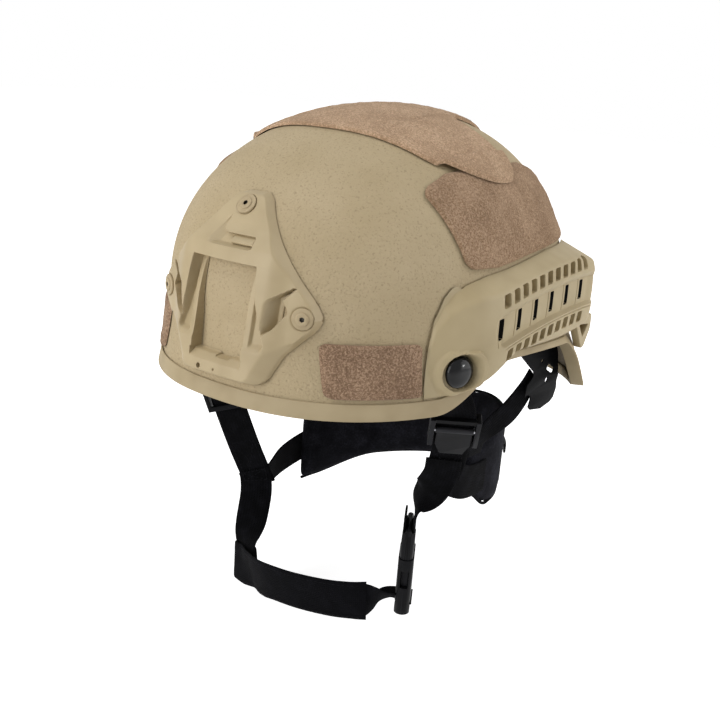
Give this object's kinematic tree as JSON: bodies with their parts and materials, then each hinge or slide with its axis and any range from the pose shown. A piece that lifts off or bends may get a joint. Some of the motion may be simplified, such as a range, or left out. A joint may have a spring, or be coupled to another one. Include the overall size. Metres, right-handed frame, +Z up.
{
  "type": "combat helmet",
  "caption": "High-cut combat helmet with side accessory rails, front mount shroud, loop patches, padded liner and a buckled chin harness with a rear size dial.",
  "frame": {"origin": "under the crown's top point, level with the shell's front rim, where the wearer's head goes in", "axes": "+Z up, -Y towards the helmet's front, +X towards the wearer's left"},
  "size_m": [0.2746, 0.3076, 0.3783],
  "materials": {
    "shell_paint": "matte grit paint on an aramid laminate",
    "edge_rubber": "matte",
    "loop_fabric": "short loop pile",
    "rail_plastic": "satin moulded",
    "shroud_plastic": "satin moulded",
    "tan_steel": "satin paint",
    "bolt_gloss": "glossy",
    "steel": "dull",
    "pad_fabric": "brushed knit over foam",
    "webbing": "woven",
    "black_plastic": "satin moulded"
  },
  "bodies": {
    "helmet": {"shell": "shell_paint", "edge_trim": "edge_rubber", "crown_patch": "loop_fabric", "left_side_patch": "loop_fabric", "right_side_patch": "loop_fabric", "left_front_patch": "loop_fabric", "right_front_patch": "loop_fabric", "left_rail": "rail_plastic", "right_rail": "rail_plastic", "rail_front_bolts": "bolt_gloss", "rail_front_nuts": "steel", "rail_rear_screws": "steel", "shroud": "shroud_plastic", "shroud_washers": "tan_steel", "shroud_screws": "tan_steel", "shroud_nuts": "steel", "crown_pad": "pad_fabric", "front_pad": "pad_fabric", "rear_pad": "pad_fabric", "left_front_pad": "pad_fabric", "right_front_pad": "pad_fabric", "left_rear_pad": "pad_fabric", "right_rear_pad": "pad_fabric", "left_hanger_plate": "black_plastic", "right_hanger_plate": "black_plastic", "left_plate_strap": "webbing", "right_plate_strap": "webbing", "nape_pad": "pad_fabric", "dial_housing": "black_plastic", "left_front_strap": "webbing", "right_front_strap": "webbing", "left_lower_strap": "webbing", "right_down_strap": "webbing", "left_rear_strap": "webbing", "right_rear_strap": "webbing", "left_adjuster_frame": "black_plastic", "right_adjuster_frame": "black_plastic", "left_adjuster_pin": "steel", "right_adjuster_pin": "steel", "chin_band": "webbing", "buckle_socket": "black_plastic"},
    "dial": {"dial_knob": "black_plastic", "dial_pinion": "black_plastic", "dial_screw": "steel"},
    "left_arm": {"left_band_arm": "black_plastic"},
    "right_arm": {"right_band_arm": "black_plastic"},
    "left_lever": {"left_adjuster_lever": "black_plastic"},
    "right_lever": {"right_adjuster_lever": "black_plastic"},
    "tongue": {"buckle_tongue": "black_plastic"}
  },
  "joints": [
    {"name": "buckle_release", "type": "slide", "parent": "helmet", "child": "tongue", "axis": [0, 0, 1], "range_m": [0, 0.028], "deforming": ["left_lower_strap"]},
    {"name": "dial_turn", "type": "hinge", "parent": "helmet", "child": "dial", "pos_m": [0, 0.115, -0.088], "axis": [0, 1, 0], "range_deg": [-180, 180]},
    {"name": "left_arm_turn", "type": "hinge", "parent": "helmet", "child": "left_arm", "pos_m": [0, 0.02, -0.088], "axis": [0, 0, 1], "range_deg": [-9.87, 9.87]},
    {"name": "right_arm_turn", "type": "hinge", "parent": "helmet", "child": "right_arm", "pos_m": [0, 0.02, -0.088], "axis": [0, 0, 1], "range_deg": [-9.87, 9.87]},
    {"name": "left_lever_turn", "type": "hinge", "parent": "helmet", "child": "left_lever", "pos_m": [0.10216, -0.05909, -0.02393], "axis": [-0.8192, -0.5736, 0], "range_deg": [0, 60]},
    {"name": "right_lever_turn", "type": "hinge", "parent": "helmet", "child": "right_lever", "pos_m": [-0.10102, -0.0581, -0.04744], "axis": [0.822, 0.4963, 0.2793], "range_deg": [0, 60]}
  ],
  "couplings": [
    {"joint": "left_arm_turn", "follows": "dial_turn", "ratio": -0.054765},
    {"joint": "right_arm_turn", "follows": "dial_turn", "ratio": 0.054765}
  ]
}
